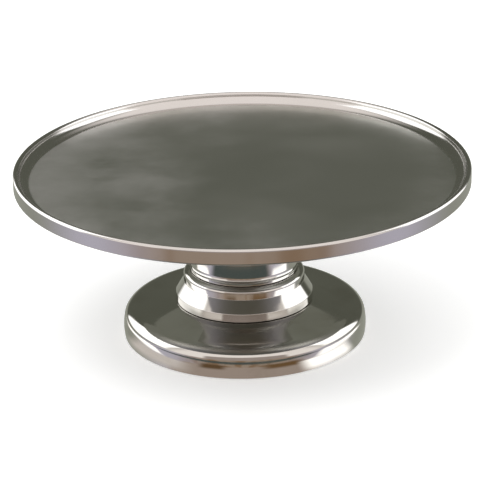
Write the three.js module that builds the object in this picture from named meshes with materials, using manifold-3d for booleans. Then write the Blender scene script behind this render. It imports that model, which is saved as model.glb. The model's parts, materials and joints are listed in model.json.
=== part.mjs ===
// A revolving cake stand: a dished plate with a rolled rim that turns on a low stepped pedestal.
// Millimetres, +Z up, origin at the centre of the bottom, where the rubber feet stand.

import * as THREE from 'three';
import { mergeVertices } from 'three/addons/utils/BufferGeometryUtils.js';
import Module from 'manifold-3d';

const wasm = await Module();
wasm.setup();

// Driving dimensions
const plateRadius = 152.5;
const totalHeight = 120;
const rimHeight = 10.5;
const dishDepth = 7.2;
const footRadius = 82;
const neckRadius = 35;
const collarTop = 46;
const spindleRadius = 8;
const ballRadius = 3;
const ballCount = 12;
const ballCircle = 26;

// Clearances: restGap between pieces that touch, runGap between a shaft and its bush
const restGap = 0.3;
const runGap = 0.1;

// Facets around a turned piece
const facets = { plate: 60, base: 48, collar: 40, turned: 36, bush: 24, shaft: 20, foot: 16, screw: 12 };

// Heights that follow from them, from the plate down
const plateUnderside = totalHeight - rimHeight;
const flangeTop = plateUnderside - restGap;
const flangeThickness = 4;
const flangeBottom = flangeTop - flangeThickness;
const raceThickness = 3;
const raceGap = 4;
const upperRaceTop = flangeBottom - restGap;
const upperRaceBottom = upperRaceTop - raceThickness;
const ballHeight = upperRaceBottom - raceGap / 2;
const lowerRaceTop = ballHeight - raceGap / 2;
const lowerRaceBottom = lowerRaceTop - raceThickness;
const seatHeight = lowerRaceBottom - restGap;
const neckTop = seatHeight - 4.6;

// and from the foot up
const shellBottom = 0.5;
const shellThickness = 1.5;
const shellTop = 24.2;
const collarBottom = shellTop + restGap;
const clampTop = shellTop - shellThickness - restGap;
const clampBottom = clampTop - 5;
const coverBottom = 4.2;
const coverThickness = 1;
const coverTop = coverBottom + coverThickness;
const footCircle = 66;
const footScrewRadius = 1.9;
const footScrewTop = 12;
const ballastBottom = coverTop + restGap;
const tieCircle = 23;
const tieRadius = 3;
const tieHoleTop = seatHeight - 4;
const studCircle = 46;
const studRadius = 2.5;

const object = new THREE.Group();
object.name = 'cake_turntable';

const metals = {
  polished: () => new THREE.MeshStandardMaterial({ color: 0xb9b4aa, roughness: 0.12, metalness: 1 }),
  satin: () => new THREE.MeshStandardMaterial({ color: 0x9a9c90, roughness: 0.35, metalness: 1 }),
  turned: () => new THREE.MeshStandardMaterial({ color: 0xa9a9a6, roughness: 0.4, metalness: 1 }),
  zinc: () => new THREE.MeshStandardMaterial({ color: 0xb4b8bc, roughness: 0.3, metalness: 1 }),
  ballSteel: () => new THREE.MeshStandardMaterial({ color: 0xc8cacc, roughness: 0.08, metalness: 1 }),
  brass: () => new THREE.MeshStandardMaterial({ color: 0xb9964f, roughness: 0.35, metalness: 1 }),
  bronze: () => new THREE.MeshStandardMaterial({ color: 0x96703c, roughness: 0.45, metalness: 1 }),
  castIron: () => new THREE.MeshStandardMaterial({ color: 0x3a3a3b, roughness: 0.8, metalness: 0.6 }),
  rubber: () => new THREE.MeshStandardMaterial({ color: 0x1c1c1d, roughness: 0.9, metalness: 0 }),
};

function addPiece(name, geometry, material, x = 0, y = 0) {
  const mesh = new THREE.Mesh(geometry, material());
  mesh.name = name;
  mesh.position.set(x, y, 0);
  object.add(mesh);
}

// An outline of [radius, height] points, spun about +Z. It runs up the outside and back to where it began,
// or from the axis to the axis.
function spin(outline, segments) {
  const points = outline.map(([radius, height]) => new THREE.Vector2(radius, height));
  const geometry = new THREE.LatheGeometry(points, segments);
  geometry.rotateX(Math.PI / 2);
  return geometry;
}

// A plain ring or tube, and a plain disc or shaft
function ring(inner, outer, bottom, top, segments) {
  return spin([[inner, bottom], [outer, bottom], [outer, top], [inner, top], [inner, bottom]], segments);
}

function disc(radius, bottom, top, segments) {
  return spin([[0, bottom], [radius, bottom], [radius, top], [0, top]], segments);
}

// Points along an ellipse from one angle to another, in degrees, first and last included
function arc(centre, radii, from, to, steps) {
  return Array.from({ length: steps + 1 }, (_, i) => {
    const angle = THREE.MathUtils.degToRad(from + (to - from) * i / steps);
    return [centre[0] + radii[0] * Math.cos(angle), centre[1] + radii[1] * Math.sin(angle)];
  });
}

// The closed outline of a sheet: its outer face, then the same line moved inward by the thickness
function sheet(outer, thickness) {
  const inner = outer.map((point, i) => {
    const before = outer[Math.max(i - 1, 0)];
    const after = outer[Math.min(i + 1, outer.length - 1)];
    const along = new THREE.Vector2(after[0] - before[0], after[1] - before[1]).normalize();
    return [point[0] - along.y * thickness, point[1] + along.x * thickness];
  });
  return [...outer, ...inner.reverse(), outer[0]];
}

// Places around a circle, the first one at the given angle in degrees
function around(radius, count, first = 0) {
  return Array.from({ length: count }, (_, i) => {
    const angle = THREE.MathUtils.degToRad(first + 360 * i / count);
    return [radius * Math.cos(angle), radius * Math.sin(angle)];
  });
}

function toSolid(geometry) {
  const bare = new THREE.BufferGeometry();
  bare.setAttribute('position', geometry.getAttribute('position').clone());
  bare.setIndex(geometry.getIndex());
  const merged = mergeVertices(bare, 1e-3);
  const vertProperties = new Float32Array(merged.getAttribute('position').array);
  const triVerts = new Uint32Array(merged.getIndex().array);
  return new wasm.Manifold(new wasm.Mesh({ numProp: 3, vertProperties, triVerts }));
}

function toGeometry(solid) {
  const mesh = solid.getMesh();
  const geometry = new THREE.BufferGeometry();
  geometry.setAttribute('position', new THREE.BufferAttribute(mesh.vertProperties, 3));
  geometry.setIndex(new THREE.BufferAttribute(mesh.triVerts, 1));
  geometry.computeVertexNormals();
  return geometry;
}

// The body with an upright round hole at each place
function drill(body, places, radius, bottom, top, segments) {
  let solid = toSolid(body);
  for (const [x, y] of places) {
    solid = solid.subtract(toSolid(disc(radius, bottom, top, segments).translate(x, y, 0)));
  }
  return toGeometry(solid);
}

// A hexagon nut with a round hole
function nut(acrossFlats, hole, bottom, top) {
  const corners = around(acrossFlats / Math.sqrt(3), 6).map(([x, y]) => new THREE.Vector2(x, y));
  const shape = new THREE.Shape(corners);
  const bore = new THREE.Path();
  bore.absarc(0, 0, hole, 0, 2 * Math.PI, true);
  shape.holes.push(bore);
  const options = { depth: top - bottom, bevelEnabled: false, curveSegments: 6 };
  return new THREE.ExtrudeGeometry(shape, options).translate(0, 0, bottom);
}

// One sheet with a flat underside. The rim stands up, its lip is fully round, and a sloping fillet leads
// down to the flat dish floor.
function turntablePlate() {
  const lip = 1.8;
  const lipHeight = totalHeight - lip;
  const floor = totalHeight - dishDepth;
  const fillet = [7.5, lipHeight - floor];
  const outline = [
    [0, plateUnderside],
    ...arc([plateRadius - 1.2, plateUnderside + 1.2], [1.2, 1.2], -90, 0, 1),
    ...arc([plateRadius - lip, lipHeight], [lip, lip], 0, 180, 4),
    ...arc([plateRadius - 2 * lip - fillet[0], lipHeight], fillet, 0, -90, 3).slice(1),
    [0, floor],
  ];
  addPiece('turntable_plate', spin(outline, facets.plate), metals.satin);
}

// The flange hangs under the plate on four welded studs. Its boss centres the upper race, and its middle
// hole is countersunk for the spindle screw.
function hub() {
  const boss = ballCircle - 4.8;
  const edge = studCircle + 8;
  const countersink = screwHole + 3.1;
  const studs = around(studCircle, 4, 45);
  const body = spin([
    [screwHole, upperRaceBottom],
    [boss, upperRaceBottom],
    [boss, flangeBottom],
    [edge, flangeBottom],
    [edge, flangeTop],
    [countersink, flangeTop],
    [screwHole, flangeTop - 3.1],
    [screwHole, upperRaceBottom],
  ], facets.turned);
  const studHole = studRadius + restGap;
  const flange = drill(body, studs, studHole, upperRaceBottom, totalHeight, facets.screw);
  addPiece('hub_flange', flange, metals.turned);

  const washerTop = flangeBottom - restGap;
  const washerBottom = washerTop - 1;
  const nutTop = washerBottom - restGap;
  const nutBottom = nutTop - 4;
  studs.forEach(([x, y], i) => {
    const stud = disc(studRadius, nutBottom - 1.2, flangeTop, facets.screw);
    const washer = ring(studHole, 5, washerBottom, washerTop, facets.screw);
    addPiece(`weld_stud_${i + 1}`, stud, metals.zinc, x, y);
    addPiece(`stud_washer_${i + 1}`, washer, metals.zinc, x, y);
    addPiece(`stud_nut_${i + 1}`, nut(8, studHole, nutBottom, nutTop), metals.zinc, x, y);
  });
}

// The shaft, with a tapped hole in its top and a circlip groove near its lower end
const spindleTop = upperRaceBottom - restGap;
const spindleBottom = coverTop + 0.8;
const grooveBottom = spindleBottom + 1.2;
const grooveTop = grooveBottom + 1.6;
const grooveRadius = spindleRadius - 1;
const screwHole = 3.3;
const tappedDepth = 16;

function spindle() {
  addPiece('spindle', spin([
    [0, spindleBottom],
    [spindleRadius - 0.8, spindleBottom],
    [spindleRadius, spindleBottom + 0.8],
    [spindleRadius, grooveBottom],
    [grooveRadius, grooveBottom],
    [grooveRadius, grooveTop],
    [spindleRadius, grooveTop],
    [spindleRadius, spindleTop],
    [screwHole, spindleTop],
    [screwHole, spindleTop - tappedDepth],
    [0, spindleTop - tappedDepth],
  ], facets.shaft), metals.turned);

  // A countersunk screw joins it to the hub flange, flush with the flange's top
  const head = screwHole + 2.6;
  const shank = screwHole - restGap;
  const headTop = flangeTop - 0.1;
  addPiece('spindle_screw', spin([
    [0, spindleTop - tappedDepth + 2],
    [shank, spindleTop - tappedDepth + 2],
    [shank, headTop - 3.2],
    [head, headTop - 0.3],
    [head, headTop],
    [0, headTop],
  ], facets.screw), metals.zinc);
}

// An open ring that snaps into the groove, seen from below as a letter C
function circlip() {
  const inner = grooveRadius + restGap;
  const outer = spindleRadius + 3;
  const opening = THREE.MathUtils.degToRad(25);
  const shape = new THREE.Shape();
  shape.absarc(0, 0, outer, opening, 2 * Math.PI - opening, false);
  shape.absarc(0, 0, inner, 2 * Math.PI - opening, opening, true);
  const options = { depth: 1, bevelEnabled: false, curveSegments: 14 };
  const geometry = new THREE.ExtrudeGeometry(shape, options).translate(0, 0, grooveBottom + restGap);
  addPiece('circlip', geometry, metals.zinc);
}

// A loose washer between the circlip groove and the lower bush
const thrustBottom = grooveTop + restGap;
const thrustTop = thrustBottom + 1;

function thrustWasher() {
  const washer = ring(spindleRadius + restGap, 13, thrustBottom, thrustTop, facets.bush);
  addPiece('thrust_washer', washer, metals.bronze);
}

// A ring whose one face has a round groove for the balls. Side is 1 for a groove in the top, -1 for one
// in the bottom.
function race(back, face, side) {
  const half = 4.5;
  const reach = ballRadius + restGap;
  const depthAngle = THREE.MathUtils.radToDeg(Math.acos((raceGap / 2) / reach));
  const [start, end] = [-side * (90 - depthAngle), -side * (90 + depthAngle)];
  const groove = arc([ballCircle, ballHeight], [reach, reach], start, end, 3);
  const outline = [
    [ballCircle - half, back],
    [ballCircle + half, back],
    [ballCircle + half, face],
    ...groove,
    [ballCircle - half, face],
    [ballCircle - half, back],
  ];
  return side > 0 ? outline : outline.reverse();
}

function races() {
  addPiece('lower_race', spin(race(lowerRaceBottom, lowerRaceTop, 1), facets.turned), metals.ballSteel);
  const upper = race(upperRaceTop, upperRaceBottom, -1);
  addPiece('upper_race', spin(upper, facets.turned), metals.ballSteel);
}

function ballsAndCage() {
  const places = around(ballCircle, ballCount);
  const half = { width: 4.2, height: 0.8 };
  const bottom = ballHeight - half.height;
  const top = ballHeight + half.height;
  const body = ring(ballCircle - half.width, ballCircle + half.width, bottom, top, facets.turned);
  const cage = drill(body, places, ballRadius + 0.4, bottom - 1, top + 1, facets.screw);
  addPiece('ball_cage', cage, metals.brass);
  places.forEach(([x, y], i) => {
    const ball = new THREE.SphereGeometry(ballRadius, 8, 6).rotateX(Math.PI / 2).translate(0, 0, ballHeight);
    addPiece(`ball_${i + 1}`, ball, metals.ballSteel, x, y);
  });
}

// A cap on the neck: its wall hides the races, its spigot fits in the neck, and three blind holes under it
// take the tie rods.
function bearingHousing() {
  const bore = spindleRadius + 3 + restGap;
  const spigot = { radius: neckRadius - 2.8, bottom: neckTop - 8 };
  const recess = ballCircle + 4.8;
  const wall = { radius: recess + 5.2, top: flangeBottom - 1 };
  const body = spin([
    [bore, spigot.bottom],
    [spigot.radius, spigot.bottom],
    [spigot.radius, neckTop + restGap],
    [wall.radius, neckTop + restGap],
    [wall.radius, wall.top - 1],
    [wall.radius - 1, wall.top],
    [recess, wall.top],
    [recess, seatHeight],
    [bore, seatHeight],
    [bore, spigot.bottom],
  ], facets.turned);
  const holes = around(tieCircle, 3, 90);
  const cap = drill(body, holes, tieRadius + restGap, spigot.bottom - 1, tieHoleTop, facets.screw);
  addPiece('bearing_housing', cap, metals.turned);
}

const bushFlange = 1.5;

// A flanged bronze bush. Side is 1 with its flange at the top, -1 at the bottom.
function bush(name, flangeFace, length, side) {
  const inner = spindleRadius + runGap;
  const outline = [
    [inner, flangeFace - side * length],
    [spindleRadius + 3, flangeFace - side * length],
    [spindleRadius + 3, flangeFace],
    [spindleRadius + 6, flangeFace],
    [spindleRadius + 6, flangeFace + side * bushFlange],
    [inner, flangeFace + side * bushFlange],
    [inner, flangeFace - side * length],
  ];
  addPiece(name, spin(side > 0 ? outline : outline.reverse(), facets.bush), metals.bronze);
}

// A tube with a low bead where it stands on the collar. A small cove leads from the bead to the tube.
function neck() {
  const bore = neckRadius - 2.5;
  const bottom = collarTop + restGap;
  const bead = neckRadius + 1.6;
  const beadTop = bottom + 2.2;
  const cove = [bead - neckRadius, 3];
  addPiece('neck_tube', spin([
    [bore, bottom],
    [bead - 0.3, bottom],
    [bead, bottom + 0.5],
    ...arc([bead, beadTop + cove[1]], cove, -90, -180, 3),
    [neckRadius, neckTop],
    [bore, neckTop],
    [bore, bottom],
  ], facets.collar), metals.polished);
}

// A turned ring with two bands. The upper band has a round shoulder, and below it the wall leans straight
// out to the edge of the lower band. A spigot above centres the neck, and one below sits in the shell.
function steppedCollar() {
  const upper = { radius: 41, bottom: 38.5 };
  const lower = { radius: 46.5, top: 30.2 };
  const shoulder = [4.2, 3.5];
  const bore = 29.5;
  const upperSpigot = { radius: neckRadius - 2.8, top: collarTop + 5 };
  const lowerSpigot = { radius: neckRadius + 0.6, bottom: collarBottom - 1.2 };
  addPiece('stepped_collar', spin([
    [bore, lowerSpigot.bottom],
    [lowerSpigot.radius, lowerSpigot.bottom],
    [lowerSpigot.radius, collarBottom],
    [lower.radius - 0.5, collarBottom],
    [lower.radius, collarBottom + 0.8],
    [lower.radius, lower.top - 0.3],
    [lower.radius - 0.25, lower.top + 0.4],
    [upper.radius, upper.bottom],
    ...arc([upper.radius - shoulder[0], collarTop - shoulder[1]], shoulder, 0, 90, 4),
    [upperSpigot.radius, collarTop],
    [upperSpigot.radius, upperSpigot.top],
    [bore, upperSpigot.top],
    [bore, lowerSpigot.bottom],
  ], facets.collar), metals.polished);
}

// A spun shell: a slightly bulged foot wall, a round shoulder, and a low dome up to a flat seat
function baseShell() {
  const wallTop = 12.5;
  const shoulder = [10, 7.7];
  const domeEdge = [footRadius - shoulder[0], wallTop + shoulder[1]];
  const bulge = 0.6;
  const wall = Array.from({ length: 4 }, (_, i) => {
    const t = i / 3;
    return [footRadius + bulge * Math.sin(Math.PI * t), shellBottom + (wallTop - shellBottom) * t];
  });
  const outer = [
    ...wall,
    ...arc([domeEdge[0], wallTop], shoulder, 0, 90, 4).slice(1),
    [60, 21.6],
    [47.5, shellTop],
    [neckRadius + 1, shellTop],
  ];
  addPiece('base_shell', spin(sheet(outer, shellThickness), facets.base), metals.polished);
}

// A disc that pulls the shell up against the collar. Its boss holds the lower bush.
function baseClamp() {
  const bore = spindleRadius + 3 + restGap;
  const boss = bore + 5;
  const flangeFace = thrustTop + restGap + bushFlange;
  const bottom = flangeFace + restGap;
  const body = spin([
    [bore, bottom],
    [boss, bottom],
    [boss, clampBottom],
    [42, clampBottom],
    [42, clampTop],
    [bore, clampTop],
    [bore, bottom],
  ], facets.turned);
  const holes = around(tieCircle, 3, 90);
  const clamp = drill(body, holes, tieRadius + restGap, 0, collarTop, facets.screw);
  addPiece('base_clamp', clamp, metals.turned);
  bush('lower_bush', flangeFace, 12, -1);
}

// Three rods run up inside the neck, from the clamp disc to the bearing housing
function tieRods() {
  const hole = tieRadius + restGap;
  const washerTop = clampBottom - restGap;
  const washerBottom = washerTop - 1.2;
  const nutTop = washerBottom - restGap;
  const nutBottom = nutTop - 5;
  around(tieCircle, 3, 90).forEach(([x, y], i) => {
    const rod = disc(tieRadius, nutBottom - 1.5, tieHoleTop - 1, facets.screw);
    addPiece(`tie_rod_${i + 1}`, rod, metals.zinc, x, y);
    addPiece(`tie_washer_${i + 1}`, ring(hole, 6, washerBottom, washerTop, facets.screw), metals.zinc, x, y);
    addPiece(`tie_nut_${i + 1}`, nut(10, hole, nutBottom, nutTop), metals.zinc, x, y);
  });
}

// A cast ring that makes the foot heavy, and the plate that closes the foot from below. The four foot screws
// pass through the plate into blind holes in the ring.
function ballastAndCover() {
  const places = around(footCircle, 4, 45);
  const inner = 46;
  const outer = 79;
  const top = 15.5;
  const ballast = spin([
    [inner, ballastBottom],
    [outer, ballastBottom],
    [outer, ballastBottom + 5],
    [outer - 5, top],
    [inner, top],
    [inner, ballastBottom],
  ], facets.collar);
  const hole = footScrewRadius + restGap;
  const weight = drill(ballast, places, hole, 0, footScrewTop + 1, facets.screw);
  addPiece('ballast_ring', weight, metals.castIron);
  const blank = disc(footRadius - 2.4, coverBottom, coverTop, facets.base);
  const cover = drill(blank, places, hole + 0.1, 0, coverTop + 1, facets.screw);
  addPiece('bottom_cover', cover, metals.zinc);
}

// Each foot is recessed from below for the head of its screw
function feet() {
  const recess = 4.6;
  const recessTop = 2.2;
  const hole = footScrewRadius + 0.4;
  const headTop = recessTop - restGap;
  around(footCircle, 4, 45).forEach(([x, y], i) => {
    addPiece(`rubber_foot_${i + 1}`, spin([
      [recess, 0],
      [8.4, 0],
      [9, 0.6],
      [8.6, coverBottom - restGap],
      [hole, coverBottom - restGap],
      [hole, recessTop],
      [recess, recessTop],
      [recess, 0],
    ], facets.foot), metals.rubber, x, y);
    addPiece(`foot_screw_${i + 1}`, spin([
      [0, headTop - 1.5],
      [recess - 1.2, headTop - 1.5],
      [recess - 0.4, headTop - 0.8],
      [recess - 0.4, headTop],
      [footScrewRadius, headTop],
      [footScrewRadius, footScrewTop],
      [0, footScrewTop],
    ], facets.screw), metals.zinc, x, y);
  });
}

baseShell();
steppedCollar();
neck();
bearingHousing();
bush('upper_bush', seatHeight + restGap, 12.5, 1);
baseClamp();
tieRods();
ballastAndCover();
feet();
races();
ballsAndCage();
turntablePlate();
hub();
spindle();
circlip();
thrustWasher();

export default object;
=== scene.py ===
import json
import math

import bmesh
import bpy
import numpy as np
from mathutils import Matrix, Vector


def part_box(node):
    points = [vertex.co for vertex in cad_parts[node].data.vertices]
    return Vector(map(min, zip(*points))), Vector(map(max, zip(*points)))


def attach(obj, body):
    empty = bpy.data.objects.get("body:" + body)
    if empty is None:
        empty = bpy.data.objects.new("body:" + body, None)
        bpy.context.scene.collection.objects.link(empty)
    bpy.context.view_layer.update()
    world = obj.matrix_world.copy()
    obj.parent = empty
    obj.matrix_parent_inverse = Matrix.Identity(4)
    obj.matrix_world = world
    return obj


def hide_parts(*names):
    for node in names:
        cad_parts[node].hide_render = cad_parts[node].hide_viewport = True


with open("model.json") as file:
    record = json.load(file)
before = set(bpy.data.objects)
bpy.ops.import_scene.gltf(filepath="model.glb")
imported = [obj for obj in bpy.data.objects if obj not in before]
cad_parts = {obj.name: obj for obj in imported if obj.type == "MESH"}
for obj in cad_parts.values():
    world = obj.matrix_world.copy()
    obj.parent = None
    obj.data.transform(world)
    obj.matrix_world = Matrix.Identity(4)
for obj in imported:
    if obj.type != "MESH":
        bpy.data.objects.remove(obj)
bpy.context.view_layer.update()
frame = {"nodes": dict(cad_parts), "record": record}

mm = 0.001
print("frame loaded with", len(frame["nodes"]), "nodes")


# A socket in a node tree. Sums, products and powers of values add the Math nodes that they need.
class Value:
    def __init__(self, tree, socket):
        self.tree = tree
        self.socket = socket

    def math(self, operation, *terms):
        return self.tree.node("ShaderNodeMath", {"operation": operation}, dict(enumerate(terms)))

    def __add__(self, other):
        return self.math("ADD", self, other)

    def __radd__(self, other):
        return self.math("ADD", other, self)

    def __sub__(self, other):
        return self.math("SUBTRACT", self, other)

    def __rsub__(self, other):
        return self.math("SUBTRACT", other, self)

    def __mul__(self, other):
        return self.math("MULTIPLY", self, other)

    def __rmul__(self, other):
        return self.math("MULTIPLY", other, self)

    def __truediv__(self, other):
        return self.math("DIVIDE", self, other)

    def __pow__(self, other):
        return self.math("POWER", self, other)

    # 0 below low, 1 above high, with a smooth rise between them; low may be above high for a fall
    def rise(self, low, high):
        sockets = {"Value": self, "From Min": low, "From Max": high}
        return self.tree.node("ShaderNodeMapRange", {"interpolation_type": "SMOOTHSTEP"}, sockets)

    # 1 at the middle, down to 0 at reach on either side
    def near(self, middle, reach):
        return self.math("ABSOLUTE", self - middle).rise(reach, 0)


class Tree:
    def __init__(self, owner):
        owner.use_nodes = True
        self.tree = owner.node_tree
        self.tree.nodes.clear()

    # Any node: its type, its settings, its sockets by name or number, and which output to use
    def node(self, kind, settings=None, sockets=None, out=0):
        made = self.tree.nodes.new(kind)
        for name, value in (settings or {}).items():
            setattr(made, name, value)
        for name, value in (sockets or {}).items():
            if isinstance(value, Value):
                self.tree.links.new(value.socket, made.inputs[name])
            else:
                made.inputs[name].default_value = value
        return Value(self, made.outputs[out]) if len(made.outputs) else None

    # Blend from one colour to another
    def blend(self, amount, first, second):
        sockets = {"Factor": amount, 6: asColour(first), 7: asColour(second)}
        return self.node("ShaderNodeMix", {"data_type": "RGBA"}, sockets, out=2)

    def noise(self, vector, scale, detail=3, roughness=0.5):
        sockets = {"Vector": vector, "Scale": scale, "Detail": detail, "Roughness": roughness}
        return self.node("ShaderNodeTexNoise", {}, sockets)

    # Noise that changes along one number only, which gives rings or stripes
    def lines(self, number, scale, detail=2):
        sockets = {"W": number, "Scale": scale, "Detail": detail}
        return self.node("ShaderNodeTexNoise", {"noise_dimensions": "1D"}, sockets)

    def bump(self, height, strength, depth):
        sockets = {"Height": height, "Strength": strength, "Distance": depth}
        return self.node("ShaderNodeBump", {}, sockets)


def asColour(colour):
    return colour if isinstance(colour, Value) else (*colour, 1)


# A material tree with the object's own coordinates taken apart, in metres
class Finish(Tree):
    def __init__(self, name):
        self.material = bpy.data.materials.new(name)
        super().__init__(self.material)
        self.place = self.node("ShaderNodeTexCoord", out="Object")
        self.x = self.node("ShaderNodeSeparateXYZ", {}, {"Vector": self.place}, out="X")
        self.y = self.node("ShaderNodeSeparateXYZ", {}, {"Vector": self.place}, out="Y")
        self.z = self.node("ShaderNodeSeparateXYZ", {}, {"Vector": self.place}, out="Z")
        self.radius = (self.x * self.x + self.y * self.y) ** 0.5

    # The place with each axis stretched or squeezed
    def stretched(self, scale):
        return self.node("ShaderNodeMapping", {}, {"Vector": self.place, "Scale": scale})

    def surface(self, **sockets):
        named = {name: asColour(value) if name == "Base Color" else value for name, value in sockets.items()}
        shader = self.node("ShaderNodeBsdfPrincipled", {}, named)
        self.node("ShaderNodeOutputMaterial", {}, {"Surface": shader})
        return self.material


# A turned outline with rounded corners. Each corner is radius, height and rounding. The rounding is a circle
# that touches both sides, cut back where a side is short. Long straights get a point close to each end, so
# that they shade flat. The first and last corner stay sharp where the outline runs from axis to axis.
def roundedOutline(corners, closed=True, steps=7):
    corner = np.array(corners, float)
    point = corner[:, :2]
    toBack = np.roll(point, 1, 0) - point
    toNext = np.roll(point, -1, 0) - point
    backLength = np.linalg.norm(toBack, axis=1)
    nextLength = np.linalg.norm(toNext, axis=1)
    back = toBack / np.maximum(backLength, 1e-9)[:, None]
    ahead = toNext / np.maximum(nextLength, 1e-9)[:, None]
    half = np.arccos(np.clip((back * ahead).sum(1), -1, 1)) / 2
    room = 0.45 * np.minimum(backLength, nextLength)
    cut = np.minimum(corner[:, 2] / np.tan(np.clip(half, 0.01, 1.56)), room)
    if not closed:
        cut[[0, -1]] = 0
    share = np.linspace(0, 1, steps)[None, :, None]
    turn = np.pi - 2 * half
    start = point + back * cut[:, None]
    end = point + ahead * cut[:, None]
    middle = back + ahead
    middle /= np.maximum(np.linalg.norm(middle, axis=1), 1e-9)[:, None]
    centre = point + middle * (cut / np.cos(half).clip(0.01))[:, None]
    angle = np.maximum(turn, 1e-6)[:, None, None]
    fromStart = np.sin((1 - share) * angle) / np.sin(angle) * (start - centre)[:, None]
    fromEnd = np.sin(share * angle) / np.sin(angle) * (end - centre)[:, None]
    arcs = (centre[:, None] + fromStart + fromEnd).reshape(-1, 2)
    if closed:
        arcs = np.vstack([arcs, arcs[:1]])
    kept = np.r_[True, np.linalg.norm(np.diff(arcs, axis=0), axis=1) > 1e-4]
    return withEnds(arcs[kept])


# The same line with two more points in every long straight, near its ends
def withEnds(line, near=0.08):
    step = np.diff(line, axis=0)
    length = np.linalg.norm(step, axis=1)
    along = step / length[:, None] * near
    rows = np.stack([line[:-1], line[:-1] + along, line[1:] - along], 1)
    wanted = np.repeat(length > 5 * near, 3).reshape(-1, 3)
    wanted[:, 0] = True
    return np.vstack([rows[wanted], line[-1:]])


# Points on an ellipse between two angles in degrees
def arc(centre, radii, start, end, steps=16):
    angle = np.radians(np.linspace(start, end, steps))
    return np.stack([centre[0] + radii[0] * np.cos(angle), centre[1] + radii[1] * np.sin(angle)], 1)


# The line at even steps, with each point the weighted mean of the points within reach, which rounds creases
def softened(line, step=0.4, reach=7):
    length = np.r_[0, np.cumsum(np.linalg.norm(np.diff(line, axis=0), axis=1))]
    even = np.linspace(0, length[-1], int(length[-1] / step))
    point = np.stack([np.interp(even, length, line[:, 0]), np.interp(even, length, line[:, 1])], 1)
    weight = np.hanning(2 * reach + 3)[1:-1]
    weight /= weight.sum()
    wide = np.vstack([2 * point[0] - point[reach:0:-1], point, 2 * point[-1] - point[-2:-reach - 2:-1]])
    return np.stack([np.convolve(column, weight, "valid") for column in wide.T], 1)


# A sheet of even thickness: the outer line, then the same line moved inward along its own normals
def sheetOutline(outer, thickness):
    along = np.gradient(outer, axis=0)
    along /= np.linalg.norm(along, axis=1)[:, None]
    inner = outer + np.stack([-along[:, 1], along[:, 0]], 1) * thickness
    return np.vstack([outer, inner[::-1], outer[:1]])


slotOf = {row["node"]: row["material_slot"] for row in frame["record"]["subparts"]}
bodyOf = {node: body for body, nodes in frame["record"]["behaviour"]["bodies"].items() for node in nodes}


# Smooth faces that point outwards, with the edges sharper than 40 degrees left sharp
def smoothed(mesh):
    work = bmesh.new()
    work.from_mesh(mesh)
    bmesh.ops.remove_doubles(work, verts=work.verts, dist=1e-7)
    bmesh.ops.recalc_face_normals(work, faces=work.faces)
    work.to_mesh(mesh)
    work.free()
    mesh.polygons.foreach_set("use_smooth", np.ones(len(mesh.polygons), bool))
    mesh.set_sharp_from_angle(angle=math.radians(40))


# A mesh from grids of points in millimetres. Rows run along an outline and columns run round it. Rows that
# meet on the axis are welded into one point.
def gridMesh(name, grids, ringed=True):
    points, faces, first = [], [], 0
    for grid in grids:
        rows, columns = grid.shape[:2]
        index = np.arange(rows * columns).reshape(rows, columns) + first
        if ringed:
            index = np.hstack([index, index[:, :1]])
        around = [index[:-1, :-1], index[:-1, 1:], index[1:, 1:], index[1:, :-1]]
        faces.append(np.stack(around, -1).reshape(-1, 4))
        points.append(grid.reshape(-1, 3) * mm)
        first += rows * columns
    mesh = bpy.data.meshes.new(name)
    mesh.from_pydata(np.vstack(points).tolist(), [], np.vstack(faces).tolist())
    smoothed(mesh)
    return mesh


# A piece in place of a CAD node: it rides on the node's body and takes its material slot and finish
def standIn(node, mesh):
    mesh.materials.append(finishes[slotOf[node]])
    piece = bpy.data.objects.new(node + "_fine", mesh)
    bpy.context.scene.collection.objects.link(piece)
    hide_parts(node)
    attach(piece, bodyOf[node])
    return piece


def anglesAround(columns):
    return np.linspace(0, 2 * np.pi, columns, endpoint=False)


# Rows of radius and height carried round a vertical axis: x and y are radius times cosine and sine of the
# angle. A radius is one number, or one for each angle.
def polarGrid(radii, heights, columns, centre=(0, 0)):
    angle = anglesAround(columns)
    radius = np.stack([np.broadcast_to(row, columns) for row in radii])
    height = np.asarray(heights, float)[:, None]
    x = radius * np.cos(angle) + centre[0]
    y = radius * np.sin(angle) + centre[1]
    return np.stack([x, y, height + 0 * radius], -1)


def turnedPiece(node, outline, columns=256, centre=(0, 0)):
    outline = np.asarray(outline)
    return standIn(node, gridMesh(node, [polarGrid(outline[:, 0], outline[:, 1], columns, centre)]))


# A closed outline for a plain ring with all four edges rounded
def ringOutline(inner, outer, low, high, rounding):
    return roundedOutline([(inner, low, rounding), (outer, low, rounding), (outer, high, rounding),
                           (inner, high, rounding)])


# Upright round holes cut in a piece, with a bevel where they open. A blind hole is open below and flat above.
def drilled(piece, places, radius, low, high, bevel=0.3, blind=False):
    wide = radius + bevel + 1
    radii = [0, wide, radius, radius] + ([0] if blind else [wide, 0])
    heights = [low - 1, low - 1, low + bevel, high] + ([high] if blind else [high + 1, high + 1])
    if not blind:
        heights[3] = high - bevel
    tools = [polarGrid(radii, heights, 48, place) for place in places]
    cutter = bpy.data.objects.new("cutter", gridMesh("cutter", tools))
    bpy.context.scene.collection.objects.link(cutter)
    cut = piece.modifiers.new("holes", "BOOLEAN")
    cut.object = cutter
    cut.operation = "DIFFERENCE"
    cut.solver = "EXACT"
    bpy.context.view_layer.update()
    mesh = bpy.data.meshes.new_from_object(piece.evaluated_get(bpy.context.evaluated_depsgraph_get()))
    piece.modifiers.clear()
    piece.data = mesh
    bpy.data.objects.remove(cutter)
    smoothed(mesh)
    return piece


def placesAround(radius, count, first=0):
    angle = np.radians(first) + anglesAround(count)
    return np.stack([radius * np.cos(angle), radius * np.sin(angle)], 1)


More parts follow.
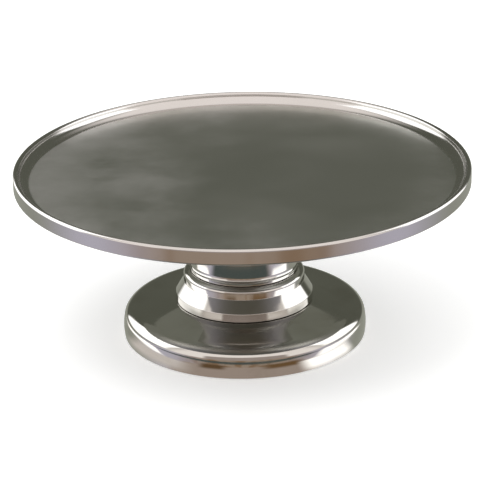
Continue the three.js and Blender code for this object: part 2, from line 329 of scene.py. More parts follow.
# Distance to the edge of a hexagon at each angle, with a corner at angle zero
def hexagon(acrossFlats, angle):
    return acrossFlats / 2 / np.cos(angle % (np.pi / 3) - np.pi / 6)


# Distance to the edge of a cross at each angle: the longer of its two bars there
def cross(length, width, angle):
    cosine = np.maximum(np.abs(np.cos(angle)), 1e-6)
    sine = np.maximum(np.abs(np.sin(angle)), 1e-6)
    return np.maximum(np.minimum(length / cosine, width / sine), np.minimum(length / sine, width / cosine))


# Rows of a threaded shank: the radius falls in a triangle wave of height over pitch less turns
def threadRows(radius, low, high, pitch, depth, columns):
    height = np.arange(low, high, pitch / 6)
    wave = np.abs((height[:, None] / pitch - anglesAround(columns) / (2 * np.pi)) % 1 - 0.5) * 2
    fade = np.minimum(1, np.minimum(height - low, high - height) / pitch)[:, None]
    return list(radius - depth * wave * fade), list(height)


# Largest radius, lowest and highest point of a turned node, in millimetres
def sizeOf(node):
    low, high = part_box(node)
    return (high.x - low.x) / 2 / mm, low.z / mm, high.z / mm


def centreOf(node):
    low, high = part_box(node)
    return (low.x + high.x) / 2 / mm, (low.y + high.y) / 2 / mm


# Nodes with a common name and a number at the end
def numbered(name):
    return sorted(node for node in slotOf if node.rsplit("_", 1)[0] == name and node[-1].isdigit())


# Satin dish floor, polished rim and a duller underside in one finish: turning rings, wiped smudges, a painted
# sheen that lightens the floor towards the left and also roughens it there, and a paler, worn edge to the
# floor.
# Lengths are in millimetres.
plateLook = dict(
    metal=(0.495, 0.50, 0.46),
    # smudge is the pale colour for smudges and worn edges, and also for the painted sheen towards the left
    smudge=(0.76, 0.75, 0.74),
    rim=(0.625, 0.605, 0.59),
    under=(0.58, 0.58, 0.555),
    floorRoughness=0.305,
    rimRoughness=0.11,
    underRoughness=0.42,
    floorEdge=141.4,
    underEdge=109.9,
    wearFrom=105,
    wearTo=140,
)


def plateFinish():
    look = plateLook
    f = Finish("satinPlate")
    rim = f.radius.rise(look["floorEdge"] * mm, (look["floorEdge"] + 2) * mm)
    under = f.z.rise(look["underEdge"] * mm, (look["underEdge"] - 0.3) * mm)
    rings = f.lines(f.radius, 420, 2)
    wide = f.lines(f.radius, 160, 2)
    smudge = f.noise(f.stretched((1, 1.6, 1)), 14, 3, 0.5).rise(0.3, 0.75)
    wipe = f.noise(f.stretched((3, 14, 1)), 9, 3, 0.6).rise(0.45, 0.8)
    # painted sheen: the floor's colour grows lighter towards the left, mottled by noise, and the same mask
    # adds a little roughness
    hazeAndPaintedSheen = (f.x * -6 + (f.noise(f.place, 13, 4, 0.62) - 0.5) * 2.4).rise(-0.15, 1)
    outward = f.radius.rise(look["wearFrom"] * mm, look["wearTo"] * mm)
    worn = outward * f.noise(f.place, 45, 4, 0.65).rise(0.3, 0.7)
    colour = f.blend(hazeAndPaintedSheen * 0.7 + smudge * 0.1 + worn * 0.3, look["metal"], look["smudge"])
    colour = f.blend(rim * (0.9 + (smudge - 0.5) * 0.2), colour, look["rim"])
    colour = f.blend(under * (0.9 + (wide - 0.5) * 0.4), colour, look["under"])
    floorRough = look["floorRoughness"] + hazeAndPaintedSheen * 0.05 + (smudge - 0.5) * 0.04
    floorRough = floorRough + (rings - 0.5) * 0.01 + wipe * 0.004
    rimRough = look["rimRoughness"] + smudge * 0.06 + (rings - 0.5) * 0.04
    rough = floorRough + (rimRough - floorRough) * rim
    rough = rough + (look["underRoughness"] - rough) * under
    height = rings * 0.6 + wide * 2 * (1 - rim * 0.8)
    normal = f.bump(height, 0.05, 0.05 * mm)
    return f.surface(**{"Base Color": colour, "Metallic": 1.0, "Roughness": rough, "Normal": normal})


# Mirror polish over the marks of the lathe, with grey-brown film in patches and a few wiped streaks
pedestalLook = dict(
    metal=(0.63, 0.615, 0.585),
    film=(0.40, 0.37, 0.31),
    roughness=0.07,
)


def pedestalFinish():
    look = pedestalLook
    f = Finish("polishedSteel")
    rings = f.lines(f.radius + f.z * 1.7, 1900, 3)
    slow = f.lines(f.radius + f.z * 1.7, 210, 2)
    patch = f.noise(f.place, 26, 4, 0.6).rise(0.48, 0.74)
    streak = f.noise(f.stretched((1, 1, 5)), 60, 3, 0.6).rise(0.55, 0.8)
    speck = f.noise(f.place, 420, 2, 0.7).rise(0.7, 0.82)
    colour = f.blend(patch * 0.35 + streak * 0.15 + speck * 0.3, look["metal"], look["film"])
    rough = look["roughness"] + patch * 0.07 + streak * 0.04 + (rings - 0.5) * 0.03
    normal = f.bump(rings * 0.5 + slow * 1.5, 0.06, 0.05 * mm)
    return f.surface(**{"Base Color": colour, "Metallic": 1.0, "Roughness": rough, "Normal": normal})


# Metals of the inner pieces: colour, stain, roughness, and how deep the turning rings are in millimetres
turnedLooks = dict(
    turned=((0.55, 0.55, 0.545), (0.40, 0.39, 0.37), 0.3, 0.03),
    bearing=((0.66, 0.665, 0.67), (0.52, 0.52, 0.53), 0.1, 0.005),
    zinc=((0.60, 0.62, 0.64), (0.62, 0.58, 0.42), 0.28, 0.02),
    brass=((0.74, 0.55, 0.25), (0.46, 0.31, 0.13), 0.3, 0.02),
    bronze=((0.52, 0.34, 0.17), (0.28, 0.18, 0.09), 0.42, 0.05),
)


# Rings that follow the radius and the height, light stains and a fine grain
def turnedFinish(name, look):
    metal, stain, roughness, ringDepth = look
    f = Finish(name)
    rings = f.lines(f.radius + f.z, 1400, 3)
    stains = f.noise(f.place, 55, 4, 0.6).rise(0.45, 0.75)
    fine = f.noise(f.place, 900, 2, 0.5)
    colour = f.blend(stains * 0.5 + (fine - 0.5) * 0.2, metal, stain)
    rough = roughness + stains * 0.08 + (rings - 0.5) * 0.08 + (fine - 0.5) * 0.05
    normal = f.bump(rings + fine * 0.3, 0.3, ringDepth * mm)
    return f.surface(**{"Base Color": colour, "Metallic": 1.0, "Roughness": rough, "Normal": normal})


# Cast surface: coarse grain with small pits, and a little rust
def castFinish():
    f = Finish("castIron")
    grain = f.noise(f.place, 650, 4, 0.65)
    pits = f.noise(f.place, 160, 3, 0.6).rise(0.56, 0.72)
    rust = f.noise(f.place, 45, 4, 0.6).rise(0.55, 0.75)
    colour = f.blend(rust * 0.6, (0.055, 0.055, 0.058), (0.13, 0.06, 0.035))
    rough = 0.6 + grain * 0.3
    normal = f.bump(grain - pits * 0.7, 0.6, 0.25 * mm)
    return f.surface(**{"Base Color": colour, "Metallic": 0.55, "Roughness": rough, "Normal": normal})


# Moulded rubber: fine grain with pale dust on it
def rubberFinish():
    f = Finish("footRubber")
    grain = f.noise(f.place, 1500, 3, 0.6)
    dust = f.noise(f.place, 120, 4, 0.65).rise(0.5, 0.8)
    colour = f.blend(dust * 0.5, (0.018, 0.018, 0.019), (0.09, 0.085, 0.08))
    normal = f.bump(grain, 0.4, 0.08 * mm)
    return f.surface(**{"Base Color": colour, "Roughness": 0.62 + dust * 0.25, "Normal": normal})


finishes = dict(
    satin_steel=plateFinish(),
    polished_steel=pedestalFinish(),
    turned_steel=turnedFinish("turnedSteel", turnedLooks["turned"]),
    bearing_steel=turnedFinish("bearingSteel", turnedLooks["bearing"]),
    zinc_plate=turnedFinish("zincPlate", turnedLooks["zinc"]),
    brass=turnedFinish("stampedBrass", turnedLooks["brass"]),
    bronze=turnedFinish("oiledBronze", turnedLooks["bronze"]),
    cast_iron=castFinish(),
    rubber=rubberFinish(),
)
print("finishes made:", len(finishes))


plate = dict(lip=1.8, lowerEdge=1.2, dishDepth=7.2, filletWidth=7.5, columns=384)


# Flat underside, rounded lower edge, upright wall, full-round lip, a fillet that is a quarter of an ellipse,
# and the flat floor
def makePlate():
    radius, bottom, top = sizeOf("turntable_plate")
    lip, edge, fillet = plate["lip"], plate["lowerEdge"], plate["filletWidth"]
    lipHeight = top - lip
    floor = top - plate["dishDepth"]
    filletCentre = radius - 2 * lip - fillet
    outline = np.vstack([
        [[0, bottom], [radius - edge - 0.1, bottom]],
        arc((radius - edge, bottom + edge), (edge, edge), -90, 0, 8),
        arc((radius - lip, lipHeight), (lip, lip), 0, 180, 24),
        arc((filletCentre, lipHeight), (fillet, lipHeight - floor), 0, -90, 24)[1:],
        [[filletCentre - 0.1, floor], [0, floor]],
    ])
    turnedPiece("turntable_plate", withEnds(outline), plate["columns"])


shell = dict(
    bulge=0.6,
    wallTop=12.5,
    footRadius=82,
    shoulder=(10, 7.7),
    domeMiddle=(60, 21.6),
    seatEdge=47.5,
    bore=36,
    thickness=1.5,
    columns=320,
)


# A bulged foot wall, a round shoulder and a low dome up to a flat ring. The wall's bulge is half a sine wave,
# and the dome is a parabola through its middle point.
def makeShell():
    bottom, top = sizeOf("base_shell")[1:]
    low, high, corner = shell["footRadius"], shell["wallTop"], shell["shoulder"]
    share = np.linspace(0, 1, 20)
    wall = np.stack([low + shell["bulge"] * np.sin(np.pi * share), bottom + (high - bottom) * share], 1)
    shoulder = arc((low - corner[0], high), corner, 0, 90, 28)[1:]
    start, middle, end = shoulder[-1], np.array(shell["domeMiddle"]), np.array([shell["seatEdge"], top])
    pull = 2 * middle - (start + end) / 2
    run = np.linspace(0, 1, 24)[1:, None]
    dome = (1 - run) ** 2 * start + 2 * run * (1 - run) * pull + run ** 2 * end
    seat = [[shell["seatEdge"] - 0.3, top], [shell["bore"], top]]
    outer = np.vstack([softened(np.vstack([wall, shoulder, dome])), seat])
    turnedPiece("base_shell", withEnds(sheetOutline(outer, shell["thickness"])), shell["columns"])


collar = dict(
    upperRadius=41,
    upperFoot=38.5,
    shoulder=(4.2, 3.5),
    lowerTop=30.2,
    edge=0.9,
    spigotRadius=32.2,
    spigot=5,
    lowerSpigot=35.6,
    lowerSpigotHeight=1.2,
    bore=29.5,
    columns=320,
)


# Two bands. The upper one has a shoulder that is a quarter of an ellipse, and between the bands the wall
# leans straight out.
def makeCollar():
    c = collar
    radius, bottom, top = sizeOf("stepped_collar")
    seat = top - c["spigot"]
    foot = bottom + c["lowerSpigotHeight"]
    lower = roundedOutline([
        (c["bore"], bottom, 0), (c["lowerSpigot"], bottom, 0.2), (c["lowerSpigot"], foot, 0.1),
        (radius, foot, 0.6), (radius, c["lowerTop"], c["edge"]), (c["upperRadius"], c["upperFoot"], 0.4),
        (c["upperRadius"], seat - c["shoulder"][1], 0)], closed=False)
    shoulder = arc((c["upperRadius"] - c["shoulder"][0], seat - c["shoulder"][1]), c["shoulder"], 0, 90, 18)
    upper = roundedOutline([
        (*shoulder[-1], 0), (c["spigotRadius"], seat, 0.1), (c["spigotRadius"], top, 0.4),
        (c["bore"], top, 0.3), (c["bore"], bottom, 0)], closed=False)
    turnedPiece("stepped_collar", withEnds(np.vstack([lower[:-1], shoulder, upper[1:]])), c["columns"])


neck = dict(radius=35, bore=32.5, bead=36.6, beadHeight=2.2, cove=(1.6, 3), columns=320)


# A tube that stands on the collar with a low bead. The cove above the bead is a quarter of an ellipse.
def makeNeck():
    bottom, top = sizeOf("neck_tube")[1:]
    beadTop = bottom + neck["beadHeight"]
    cove = arc((neck["bead"], beadTop + neck["cove"][1]), neck["cove"], -110, -180, 18)
    foot = roundedOutline([
        (neck["bore"], bottom, 0), (neck["bead"], bottom, 0.4), (neck["bead"], beadTop + 0.1, 0.6),
        (*cove[0], 0)], closed=False)
    tube = roundedOutline([(*cove[-1], 0), (neck["radius"], top, 0.4), (neck["bore"], top, 0.4),
                           (neck["bore"], bottom, 0)], closed=False)
    turnedPiece("neck_tube", withEnds(np.vstack([foot[:-1], cove, tube[1:]])), neck["columns"])


makePlate()
makeShell()
makeCollar()
makeNeck()
print("plate and pedestal made")


hub = dict(bore=3.3, boss=21.2, bossDrop=3.3, countersink=6.4, studCircle=46, studHole=2.8, edge=0.5)


# A flat flange with a boss under it, drilled for four studs and countersunk in the middle
def makeHub():
    radius, bottom, top = sizeOf("hub_flange")
    flange = bottom + hub["bossDrop"]
    sink = hub["countersink"] - hub["bore"]
    outline = roundedOutline([
        (hub["bore"], bottom, 0.2), (hub["boss"], bottom, 0.5), (hub["boss"], flange, 0.6),
        (radius, flange, hub["edge"]), (radius, top, hub["edge"]), (hub["countersink"], top, 0.1),
        (hub["bore"], top - sink, 0.1)])
    piece = turnedPiece("hub_flange", outline, 192)
    drilled(piece, placesAround(hub["studCircle"], 4, 45), hub["studHole"], flange, top)


housing = dict(bore=11.3, spigot=32.2, spigotHeight=8.3, recess=30.8, seat=94.6, lip=1.3, tieCircle=23,
               tieHole=3.3, tieHoleTop=90.6)


# A cup on top of the neck, with blind holes under it for the tie rods
def makeHousing():
    h = housing
    radius, bottom, top = sizeOf("bearing_housing")
    outline = roundedOutline([
        (h["bore"], bottom, 0.4), (h["spigot"], bottom, 0.8), (h["spigot"], bottom + h["spigotHeight"], 0.1),
        (radius, bottom + h["spigotHeight"], 0.5), (radius, top, h["lip"]), (h["recess"], top, 0.3),
        (h["recess"], h["seat"], 0.5), (h["bore"], h["seat"], 0.3)])
    piece = turnedPiece("bearing_housing", outline, 192)
    drilled(piece, placesAround(h["tieCircle"], 3, 90), h["tieHole"], bottom, h["tieHoleTop"], blind=True)


clamp = dict(bore=11.3, boss=16.3, bossHeight=5.2, tieCircle=23, tieHole=3.3, edge=0.8)


# The disc under the shell's seat, with a boss below for the lower bush
def makeClamp():
    radius, bottom, top = sizeOf("base_clamp")
    disc = bottom + clamp["bossHeight"]
    outline = roundedOutline([
        (clamp["bore"], bottom, 0.3), (clamp["boss"], bottom, clamp["edge"]), (clamp["boss"], disc, 0.8),
        (radius, disc, clamp["edge"]), (radius, top, clamp["edge"]), (clamp["bore"], top, 0.3)])
    piece = turnedPiece("base_clamp", outline, 160)
    drilled(piece, placesAround(clamp["tieCircle"], 3, 90), clamp["tieHole"], disc, top)


ballast = dict(bore=46, wall=5, slope=5, edge=1.5, screwCircle=66, screwHole=2.2, holeTop=13)


# A cast ring whose outer corner is cut back to clear the shell
def makeBallast():
    b = ballast
    radius, bottom, top = sizeOf("ballast_ring")
    outline = roundedOutline([
        (b["bore"], bottom, b["edge"]), (radius, bottom, b["edge"]), (radius, bottom + b["wall"], b["edge"]),
        (radius - b["slope"], top, b["edge"]), (b["bore"], top, b["edge"])])
    piece = turnedPiece("ballast_ring", outline, 160)
    drilled(piece, placesAround(b["screwCircle"], 4, 45), b["screwHole"], bottom, b["holeTop"], blind=True)


cover = dict(edge=0.3, screwCircle=66, screwHole=2.3)


# A flat disc with a hole for each foot's screw
def makeCover():
    radius, bottom, top = sizeOf("bottom_cover")
    outline = roundedOutline([(0, bottom, 0), (radius, bottom, cover["edge"]), (radius, top, cover["edge"]),
                              (0, top, 0)], closed=False)
    piece = turnedPiece("bottom_cover", outline, 192)
    drilled(piece, placesAround(cover["screwCircle"], 4, 45), cover["screwHole"], bottom, top, bevel=0.15)


makeHub()
makeHousing()
makeClamp()
makeBallast()
makeCover()
print("hub, housing and base parts made")


spindle = dict(radius=8, chamfer=1, grooveFrom=1.2, grooveTo=2.8, grooveDepth=1, hole=3.3, holeDepth=16)


# A shaft with a groove near its lower end and a hole down from its upper end
def makeSpindle():
    s = spindle
    bottom, top = sizeOf("spindle")[1:]
    floor = s["radius"] - s["grooveDepth"]
    outline = roundedOutline([
        (0, bottom, 0), (s["radius"] - s["chamfer"], bottom, 0.2), (s["radius"], bottom + s["chamfer"], 0.2),
        (s["radius"], bottom + s["grooveFrom"], 0.05), (floor, bottom + s["grooveFrom"], 0.1),
        (floor, bottom + s["grooveTo"], 0.1), (s["radius"], bottom + s["grooveTo"], 0.1),
        (s["radius"], top, 0.6), (s["hole"] + 0.5, top, 0.1), (s["hole"], top - 0.5, 0.1),
        (s["hole"], top - s["holeDepth"], 0.2), (0, top - s["holeDepth"] - 0.01, 0)], closed=False)
    turnedPiece("spindle", outline, 96)


bushes = dict(bore=8.1, wall=3, flange=1.5, edge=0.4)


# A flanged bush: the flange is at the top of the upper one and at the bottom of the lower one
def makeBush(node, upright):
    b = bushes
    radius, low, high = sizeOf(node)
    flange, tail = (high, low) if upright else (low, high)
    face = flange + (-b["flange"] if upright else b["flange"])
    body = b["bore"] - 0.1 + b["wall"]
    turnedPiece(node, roundedOutline([
        (b["bore"], tail, b["edge"]), (body, tail, b["edge"]), (body, face, 0.2), (radius, face, 0.2),
        (radius, flange, b["edge"]), (b["bore"], flange, b["edge"])]), 96)


races = dict(circle=26, half=4.5, reach=3.3, edge=0.4, columns=192)


# A square ring with a groove that is part of a circle round the balls' centres. Side is 1 for the lower race,
# whose groove is in its top, and -1 for the upper one.
def makeRace(node, side, ballHeight):
    r = races
    low, high = sizeOf(node)[1:]
    back, face = (low, high) if side > 0 else (high, low)
    half = math.degrees(math.acos(abs(ballHeight - face) / r["reach"]))
    start, end = -side * (90 - half), -side * (90 + half)
    groove = arc((r["circle"], ballHeight), (r["reach"], r["reach"]), start, end, 24)
    inner, outer = r["circle"] - r["half"], r["circle"] + r["half"]
    body = roundedOutline([
        (*groove[-1], 0), (inner, face, r["edge"]), (inner, back, r["edge"]), (outer, back, r["edge"]),
        (outer, face, r["edge"]), (*groove[0], 0)], closed=False)
    turnedPiece(node, np.vstack([body, groove[1:]]), r["columns"])


# A ball is half a circle carried round its own upright axis
def makeBalls():
    for node in numbered("ball"):
        radius, low, high = sizeOf(node)
        half = (high - low) / 2
        turnedPiece(node, arc((0, low + half), (half, half), -90, 90, 21), 40, centreOf(node))


cage = dict(inner=21.8, circle=26, pocket=3.4, edge=0.3)


# A flat ring with a pocket for each ball
def makeCage():
    radius, low, high = sizeOf("ball_cage")
    piece = turnedPiece("ball_cage", ringOutline(cage["inner"], radius, low, high, cage["edge"]), 192)
    pockets = placesAround(cage["circle"], len(numbered("ball")))
    drilled(piece, pockets, cage["pocket"], low, high, bevel=0.15)


circlip = dict(inner=7.3, gap=25, edge=0.15)


# An open ring of even section, closed at both ends by drawing its section to a point
def makeCirclip():
    radius, low, high = sizeOf("circlip")
    section = ringOutline(circlip["inner"], radius, low, high, circlip["edge"])
    middle = section.mean(0)
    angle = np.radians(np.linspace(circlip["gap"], 360 - circlip["gap"], 97))
    angle = np.r_[angle[0], angle, angle[-1]]
    keep = np.ones(len(angle))
    keep[[0, -1]] = 0
    across = middle[0] + (section[:, :1] - middle[0]) * keep
    height = middle[1] + (section[:, 1:] - middle[1]) * keep
    grid = np.stack([across * np.cos(angle), across * np.sin(angle), height], -1)
    standIn("circlip", gridMesh("circlip", [grid], ringed=False))


makeSpindle()
makeBush("upper_bush", True)
makeBush("lower_bush", False)
ballHeight = (sizeOf("lower_race")[2] + sizeOf("upper_race")[1]) / 2
makeRace("lower_race", 1, ballHeight)
makeRace("upper_race", -1, ballHeight)
makeBalls()
makeCage()
makeCirclip()
turnedPiece("thrust_washer", ringOutline(8.3, *sizeOf("thrust_washer"), 0.25), 96)
print("spindle and bearings made")


fasteners = dict(
    stud=dict(pitch=0.8, depth=0.35, threads=((0.4, 6),), bore=2.8),
    tie=dict(pitch=1, depth=0.4, threads=((0.4, 15), (66, 80)), bore=3.3),
)
fastenerBevel = 0.4
rodColumns = 36
nutColumns = 96
washerEdge = 0.2


# A rod with bevelled ends and a thread along the lengths that are given from its lower end
def makeRod(node, look):
    radius, low, high = sizeOf(node)
    bevel = fastenerBevel
    radii, heights = [0, radius - bevel, radius], [low, low, low + bevel]
    for start, end in look["threads"]:
        more = threadRows(radius, low + start, low + end, look["pitch"], look["depth"], rodColumns)
        radii += more[0]
        heights += more[1]
    radii += [radius, radius, radius - bevel, 0]
    heights += [low + look["threads"][-1][1], high - bevel, high, high]
    standIn(node, gridMesh(node, [polarGrid(radii, heights, rodColumns, centreOf(node))]))


# A hexagon nut: the radius is the smaller of the hexagon's and a cone's that bevels its corners
def makeNut(node, bore):
    low, high = sizeOf(node)[1:]
    lowest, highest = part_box(node)
    acrossFlats = (highest.y - lowest.y) / mm
    shape = hexagon(acrossFlats, anglesAround(nutColumns))
    bevel = fastenerBevel
    inset = acrossFlats * np.array([0, 0.017, 0.034, 0.051, 0.068])
    cone = acrossFlats * 0.465 + inset * 1.73
    heights = np.r_[low + inset, high - inset[::-1]]
    side = [np.minimum(shape, edge) for edge in np.r_[cone, cone[::-1]]]
    radii = [bore, bore + bevel, *side, bore + bevel, bore, bore]
    heights = [low + bevel, low, *heights, high, high - bevel, low + bevel]
    standIn(node, gridMesh(node, [polarGrid(radii, heights, nutColumns, centreOf(node))]))


def makeFasteners():
    for kind, rod in (("stud", "weld_stud"), ("tie", "tie_rod")):
        look = fasteners[kind]
        for node in numbered(rod):
            makeRod(node, look)
        for node in numbered(kind + "_nut"):
            makeNut(node, look["bore"])
        for node in numbered(kind + "_washer"):
            outline = ringOutline(look["bore"], *sizeOf(node), washerEdge)
            turnedPiece(node, outline, 64, centreOf(node))


spindleScrew = dict(
    shank=3,
    tip=(0.6, 0.8),
    pitch=1,
    depth=0.4,
    threadLength=12,
    headHeight=3.2,
    rim=0.3,
    rimBevel=(0.2, 0.1),
    socket=4,
    socketDepth=2.5,
    columns=96,
)


# A countersunk screw with a hexagon socket
def makeSpindleScrew():
    s = spindleScrew
    radius, low, high = sizeOf("spindle_screw")
    shank, columns = s["shank"], s["columns"]
    socket = hexagon(s["socket"], anglesAround(columns))
    threadLow = low + s["tip"][1]
    threadHigh = threadLow + s["threadLength"]
    thread = threadRows(shank, threadLow, threadHigh, s["pitch"], s["depth"], columns)
    radii = [0, shank - s["tip"][0], *thread[0], shank, shank, radius, radius, radius - s["rimBevel"][0],
             socket, socket, 0]
    heights = [low, low, *thread[1], threadHigh, high - s["headHeight"], high - s["rim"],
               high - s["rimBevel"][1], high, high, high - s["socketDepth"], high - s["socketDepth"]]
    standIn("spindle_screw", gridMesh("spindle_screw", [polarGrid(radii, heights, columns)]))


footScrew = dict(
    shank=1.9,
    headHeight=1.5,
    headRounding=1.1,
    headRim=0.4,
    pitch=1.1,
    depth=0.35,
    plainNeck=0.6,
    tip=1.2,
    tipRadii=(1.6, 1.0),
    recess=(2.2, 0.5),
    recessEnd=(1.1, 0.3),
    recessDepth=1.1,
    columns=96,
)


# A round-headed screw that hangs head down, with a cross recess that tapers inward
def makeFootScrew(node):
    s = footScrew
    radius, low, high = sizeOf(node)
    shank, rounding, columns = s["shank"], s["headRounding"], s["columns"]
    angle = anglesAround(columns)
    under = low + s["headHeight"]
    rim = under - s["headRim"]
    thread = threadRows(shank, under + s["plainNeck"], high - s["tip"], s["pitch"], s["depth"], columns)
    dome = arc((radius - rounding, rim), (rounding, rim - low), -90, 0, 8)
    radii = [0, cross(*s["recessEnd"], angle), cross(*s["recess"], angle), *dome[:, 0], radius, shank,
             *thread[0], *s["tipRadii"], 0]
    heights = [low + s["recessDepth"], low + s["recessDepth"], low, *dome[:, 1], under, under,
               *thread[1], high - s["tip"], high, high]
    standIn(node, gridMesh(node, [polarGrid(radii, heights, columns, centreOf(node))]))


foot = dict(recess=4.6, recessTop=2.2, bore=2.3, taper=0.4, edge=0.9, columns=72)


# A moulded foot, hollow below for the screw's head, with a rounded tread
def makeFoot(node):
    radius, low, high = sizeOf(node)
    f = foot
    recessTop = low + f["recessTop"]
    outline = roundedOutline([
        (f["recess"], low, 0.4), (radius, low, f["edge"]), (radius - f["taper"], high, 0.5),
        (f["bore"], high, 0.2), (f["bore"], recessTop, 0.2), (f["recess"], recessTop, 0.3)])
    turnedPiece(node, outline, f["columns"], centreOf(node))


makeFasteners()
makeSpindleScrew()
for screw in numbered("foot_screw"):
    makeFootScrew(screw)
for pad in numbered("rubber_foot"):
    makeFoot(pad)
print("fasteners and feet made")


# Pale floor, white surroundings for the eye, and a studio for reflections: dark behind, light in front and
# overhead, tan below in front with brown patches, and pale blue-grey below at the sides
studio = dict(
    white=(1.0, 1.0, 1.0),
    behind=(0.115, 0.12, 0.095),
    front=(1.15, 1.08, 1.04),
    tableFront=(0.42, 0.33, 0.26),
    tablePatch=(0.27, 0.16, 0.08),
    tableSide=(0.62, 0.60, 0.70),
    tableBack=(0.36, 0.37, 0.32),
    tableShade=(0.15, 0.155, 0.13),
    shadeFrom=(-34, -27),
    overhead=(38, 60),
)


def makeStudio():
    world = bpy.data.worlds.new("studio")
    bpy.context.scene.world = world
    t = Tree(world)
    direction = t.node("ShaderNodeTexCoord", out="Generated")
    x, y, z = (t.node("ShaderNodeSeparateXYZ", {}, {"Vector": direction}, out=axis) for axis in "XYZ")
    azimuth = x.math("ARCTAN2", x, y * -1) * (180 / math.pi)
    elevation = z.math("ARCSINE", z) * (180 / math.pi)
    ahead = (y * -1).rise(-0.1, 0.45)
    above = elevation.rise(*studio["overhead"])
    upper = t.blend((ahead + above).math("MINIMUM", ahead + above, 1), studio["behind"], studio["front"])
    side = azimuth.math("ABSOLUTE", azimuth).near(80, 50)
    patches = t.noise(direction, 7, 1, 0.5).rise(0.45, 0.65)
    near = t.blend(patches * 0.8, studio["tableFront"], studio["tablePatch"])
    near = t.blend(elevation.rise(*studio["shadeFrom"]), studio["tableShade"], near)
    table = t.blend(ahead, studio["tableBack"], near)
    table = t.blend(side, table, studio["tableSide"])
    room = t.blend(elevation.rise(-3, 3), table, upper)
    mirrored = t.node("ShaderNodeLightPath", out="Is Glossy Ray")
    seen = t.blend(mirrored, studio["white"], room)
    light = t.node("ShaderNodeBackground", {}, {"Color": seen, "Strength": 1.0})
    t.node("ShaderNodeOutputWorld", {}, {"Surface": light})


# Cards that only metal shows. A ring card lies between two arcs round the stand. Each arc is a radius and a
# height in millimetres and the azimuths of its ends, 0 being in front. An upright card has a middle, a size
# and a turn, in metres and degrees. Soft is the share of a card's size over which its edges fade.
ringCards = dict(
    # shadowCardFront is a dark card: a painted shadow of the plate on the table in front, seen only in
    # reflections
    shadowCardFront=dict(low=(149, -2.2, -78, 62), high=(190, -2.2, -72, 56), glow=(0.085, 0.105, 0.10), soft=0.12),
    cardLeft=dict(low=(112, -2, -104, -46), high=(172, -2, -128, -80), glow=(2.0, 1.95, 1.92), soft=0.18),
    cardRight=dict(low=(112, -2, 38, 100), high=(172, -2, 59, 104), glow=(2.0, 1.97, 1.94), soft=0.18),
    footLeft=dict(low=(80, -2.4, -90, -22), high=(122, -2.4, -90, -30), glow=(0.80, 0.74, 0.70), soft=0.3),
    footRight=dict(low=(80, -2.4, 26, 68), high=(122, -2.4, 30, 80), glow=(1.9, 1.87, 1.84), soft=0.25),
    footFront=dict(low=(80, -2.8, -45, 45), high=(125, -2.8, -45, 45), glow=(0.44, 0.36, 0.31), soft=0.1),
    brownLeft=dict(low=(98, -2.6, -29, -9), high=(147, -2.6, -33, -11), glow=(0.15, 0.09, 0.045), soft=0.3),
    brownRight=dict(low=(98, -2.6, 6, 38), high=(147, -2.6, 7, 42), glow=(0.19, 0.11, 0.05), soft=0.3),
)
uprightCards = dict(
    panelLeft=dict(middle=(-0.46, 0.16, 0.40), size=(0.72, 0.76), turn=-98, glow=(2.0, 2.0, 2.0), soft=0.1),
    panelRight=dict(middle=(0.46, 0.06, 0.34), size=(0.5, 0.64), turn=95, glow=(2.0, 2.0, 2.0), soft=0.12),
    panelLow=dict(middle=(0, -0.5, 0.12), size=(0.8, 0.27), turn=0, glow=(0.44, 0.37, 0.34), soft=0.1),
)


# 1 inside the share from 0 to 1, with soft ends
def between(share, soft):
    return share.rise(0, soft) * share.rise(1, 1 - soft)


def makeRingCard(name, low, high, glow, soft):
    (lowRadius, lowHeight, lowFrom, lowTo), (highRadius, highHeight, highFrom, highTo) = low, high
    share = np.linspace(0, 1, 24)
    lowSide = lowFrom + (lowTo - lowFrom) * share
    highSide = highFrom + (highTo - highFrom) * share
    angle = np.radians(np.stack([lowSide, highSide]) - 90)
    radius = np.array([[lowRadius], [highRadius]])
    height = np.array([[lowHeight], [highHeight]]) + 0 * angle
    grid = np.stack([radius * np.cos(angle), radius * np.sin(angle), height], -1)
    f = Finish(name)
    azimuth = f.x.math("ARCTAN2", f.x, f.y * -1) * (180 / math.pi)
    wide, tall = highRadius - lowRadius, highHeight - lowHeight
    length = wide * wide + tall * tall
    up = ((f.radius / mm - lowRadius) * wide + (f.z / mm - lowHeight) * tall) / length
    left = lowFrom + (highFrom - lowFrom) * up
    right = lowTo + (highTo - lowTo) * up
    across = (azimuth - left) / (right - left)
    shineOn(gridMesh(name, [grid], ringed=False), f, glow, between(across, soft) * between(up, soft))


def makeUprightCard(name, middle, size, turn, glow, soft):
    corners = np.array([[-1, 0, -1], [1, 0, -1], [1, 0, 1], [-1, 0, 1]]) * [size[0] / 2, 1, size[1] / 2]
    place = Matrix.Translation(middle) @ Matrix.Rotation(math.radians(turn), 4, "Z")
    mesh = bpy.data.meshes.new(name)
    mesh.from_pydata([place @ Vector(corner) for corner in corners], [], [(0, 1, 2, 3)])
    f = Finish(name)
    cosine, sine = math.cos(math.radians(turn)), math.sin(math.radians(turn))
    along = ((f.x - middle[0]) * cosine + (f.y - middle[1]) * sine) / size[0] + 0.5
    up = (f.z - middle[2]) / size[1] + 0.5
    shineOn(mesh, f, glow, between(along, soft) * between(up, soft))


def shineOn(mesh, finish, glow, shown):
    light = finish.node("ShaderNodeEmission", {}, {"Color": (*glow, 1), "Strength": 1.0})
    clear = finish.node("ShaderNodeBsdfTransparent")
    both = finish.node("ShaderNodeMixShader", {}, {0: shown, 1: clear, 2: light})
    finish.node("ShaderNodeOutputMaterial", {}, {"Surface": both})
    mesh.materials.append(finish.material)
    card = bpy.data.objects.new(mesh.name, mesh)
    bpy.context.scene.collection.objects.link(card)
    card.visible_camera = card.visible_diffuse = card.visible_shadow = False


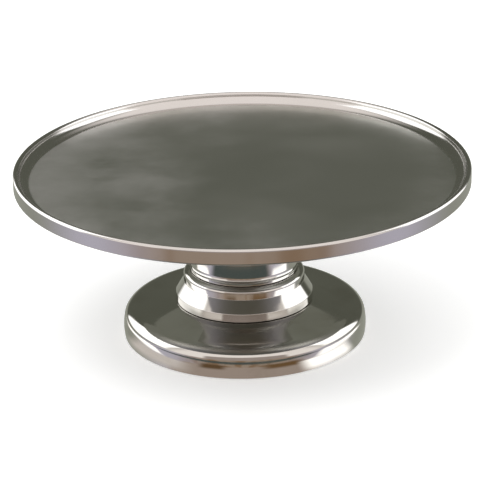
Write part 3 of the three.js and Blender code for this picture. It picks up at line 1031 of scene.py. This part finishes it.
def makeFloor():
    mesh = bpy.data.meshes.new("floor")
    mesh.from_pydata([(-6, -6, 0), (6, -6, 0), (6, 6, 0), (-6, 6, 0)], [], [(0, 1, 2, 3)])
    f = Finish("paleFloor")
    tone = f.noise(f.place, 3, 2, 0.5)
    f.surface(**{"Base Color": f.blend(tone, (0.93, 0.93, 0.925), (0.95, 0.95, 0.945)), "Roughness": 0.8,
                 "Emission Color": (1, 1, 1, 1), "Emission Strength": 0.3})
    mesh.materials.append(f.material)
    floor = bpy.data.objects.new("floor", mesh)
    bpy.context.scene.collection.objects.link(floor)
    floor.visible_glossy = False


lampAbove = dict(place=(-0.6, -0.5, 2.2), size=1.6, power=12)


def makeLamp():
    light = bpy.data.lights.new("lampAbove", "AREA")
    light.shape = "DISK"
    light.size = lampAbove["size"]
    light.energy = lampAbove["power"]
    lamp = bpy.data.objects.new("lampAbove", light)
    lamp.location = lampAbove["place"]
    lamp.rotation_euler = (-Vector(lampAbove["place"])).to_track_quat("-Z", "Y").to_euler()
    lamp.visible_glossy = False
    bpy.context.scene.collection.objects.link(lamp)


# The eye stands 1.5 m in front and 0.67 m up, looking at a point just above the middle of the stand
eye = dict(place=(0, -1.5, 0.6709), target=(-0.0023, 0, 0.0652), lens=179.8, roll=1.09)


def makeCamera():
    camera = bpy.data.cameras.new("eye")
    camera.lens = eye["lens"]
    camera.sensor_width = 36
    camera.clip_start = 0.05
    holder = bpy.data.objects.new("eye", camera)
    bpy.context.scene.collection.objects.link(holder)
    toward = Vector(eye["target"]) - Vector(eye["place"])
    turn = toward.to_track_quat("-Z", "Y").to_matrix().to_4x4()
    roll = Matrix.Rotation(math.radians(-eye["roll"]), 4, "Z")
    holder.matrix_world = Matrix.Translation(eye["place"]) @ turn @ roll
    bpy.context.scene.camera = holder


bpy.context.scene.view_settings.view_transform = "Standard"
makeStudio()
makeFloor()
for name, card in ringCards.items():
    makeRingCard(name, **card)
for name, card in uprightCards.items():
    makeUprightCard(name, **card)
makeLamp()
makeCamera()
print("studio, floor and camera set up")
